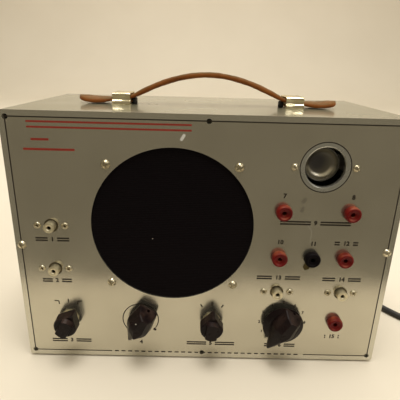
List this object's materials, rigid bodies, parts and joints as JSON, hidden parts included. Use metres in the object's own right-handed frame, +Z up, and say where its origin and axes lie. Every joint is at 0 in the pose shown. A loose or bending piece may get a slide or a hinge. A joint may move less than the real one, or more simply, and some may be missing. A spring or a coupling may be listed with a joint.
{
  "type": "signal tracer and generator",
  "caption": "Bench signal tracer in a sheet-steel case with loudspeaker, tuning-eye window, test jacks, turning controls, leather handle and mains lead.",
  "frame": {"origin": "on the floor under the middle of the instrument, without its mains lead: midway between the sides, and midway between the foremost knob and the strain relief", "axes": "+X to the right of someone facing the panel, +Y from the panel towards the back cover, +Z up"},
  "size_m": [0.4665, 0.2407, 0.2429],
  "materials": {
    "case_paint": "glossy grey-beige enamel",
    "panel_finish": "satin silver-grey metallic lacquer",
    "nickel": "bright nickel plate",
    "rubber": "matt black rubber",
    "chassis_steel": "dull cadmium-plated steel",
    "grille_cloth": "black woven grille cloth",
    "magnet_steel": "dull grey iron",
    "cone_paper": "dark grey pressed paper",
    "coil_paper": "varnished brown paper",
    "glass": "clear glass",
    "bakelite": "glossy dark brown bakelite",
    "shaft_steel": "turned steel",
    "phenolic": "brown phenolic sheet",
    "red_plastic": "glossy red moulding",
    "black_plastic": "glossy black moulding",
    "brass": "dull brass",
    "loop_metal": "pale brassy nickel plate",
    "leather": "worn red-brown harness leather",
    "transformer_black": "black japanned steel",
    "can_aluminium": "drawn aluminium can",
    "tube_glass": "glass with a dark getter"
  },
  "bodies": {
    "instrument": {"cabinet": "case_paint", "front_panel": "panel_finish", "case_screws": "nickel", "feet": "rubber", "back_cover": "case_paint", "chassis": "chassis_steel", "grille_cloth": "grille_cloth", "speaker_basket": "chassis_steel", "speaker_front_plate": "magnet_steel", "speaker_magnet": "magnet_steel", "speaker_screws": "nickel", "speaker_nuts": "nickel", "eye_ring": "panel_finish", "eye_screws": "nickel", "eye_bracket": "chassis_steel", "eye_tube_glass": "glass", "eye_tube_base": "bakelite", "input_selector_switch": "phenolic", "gain_potentiometer": "chassis_steel", "function_selector_switch": "phenolic", "attenuator_potentiometer": "chassis_steel", "control_nuts": "nickel", "upper_input_phono": "nickel", "lower_input_phono": "nickel", "left_output_phono": "nickel", "right_output_phono": "nickel", "phono_wafers": "phenolic", "rivets": "nickel", "upper_left_tip_jack": "red_plastic", "upper_right_tip_jack": "red_plastic", "lower_left_tip_jack": "red_plastic", "ground_tip_jack": "black_plastic", "lower_right_tip_jack": "red_plastic", "bottom_tip_jack": "red_plastic", "tip_jack_contacts": "brass", "tip_jack_nuts": "nickel", "ground_lug": "brass", "handle_loops": "loop_metal", "handle_strap": "leather", "strap_pads": "rubber", "power_transformer": "transformer_black", "output_transformer": "transformer_black", "filter_capacitor": "can_aluminium", "tube_sockets": "bakelite", "tubes": "tube_glass", "strain_relief": "rubber", "mains_lead": "rubber", "mains_lead_coil": "rubber", "mains_plug": "bakelite"},
    "input_selector": {"input_selector_knob": "bakelite", "input_selector_shaft": "shaft_steel"},
    "gain_control": {"gain_knob": "bakelite", "gain_shaft": "shaft_steel"},
    "function_selector": {"function_selector_knob": "bakelite", "function_selector_shaft": "shaft_steel"},
    "attenuator_control": {"attenuator_knob": "bakelite", "attenuator_shaft": "shaft_steel"},
    "speaker_diaphragm": {"speaker_cone": "cone_paper", "speaker_dust_cap": "cone_paper", "voice_coil": "coil_paper"}
  },
  "joints": [
    {"name": "input_selector_turn", "type": "hinge", "parent": "instrument", "child": "input_selector", "pos_m": [-0.1146, -0.0775, 0.0403], "axis": [0, 1, 0], "range_deg": [-60, 0]},
    {"name": "gain_turn", "type": "hinge", "parent": "instrument", "child": "gain_control", "pos_m": [-0.0536, -0.0775, 0.0403], "axis": [0, 1, 0], "range_deg": [0, 300]},
    {"name": "function_selector_turn", "type": "hinge", "parent": "instrument", "child": "function_selector", "pos_m": [0.0074, -0.0775, 0.0403], "axis": [0, 1, 0], "range_deg": [-30, 30]},
    {"name": "attenuator_turn", "type": "hinge", "parent": "instrument", "child": "attenuator_control", "pos_m": [0.0684, -0.0775, 0.0403], "axis": [0, 1, 0], "range_deg": [0, 300]},
    {"name": "diaphragm_slide", "type": "slide", "parent": "instrument", "child": "speaker_diaphragm", "axis": [0, 1, 0], "range_m": [-0.0015, 0.0015], "stiffness_N_per_m": 800}
  ]
}
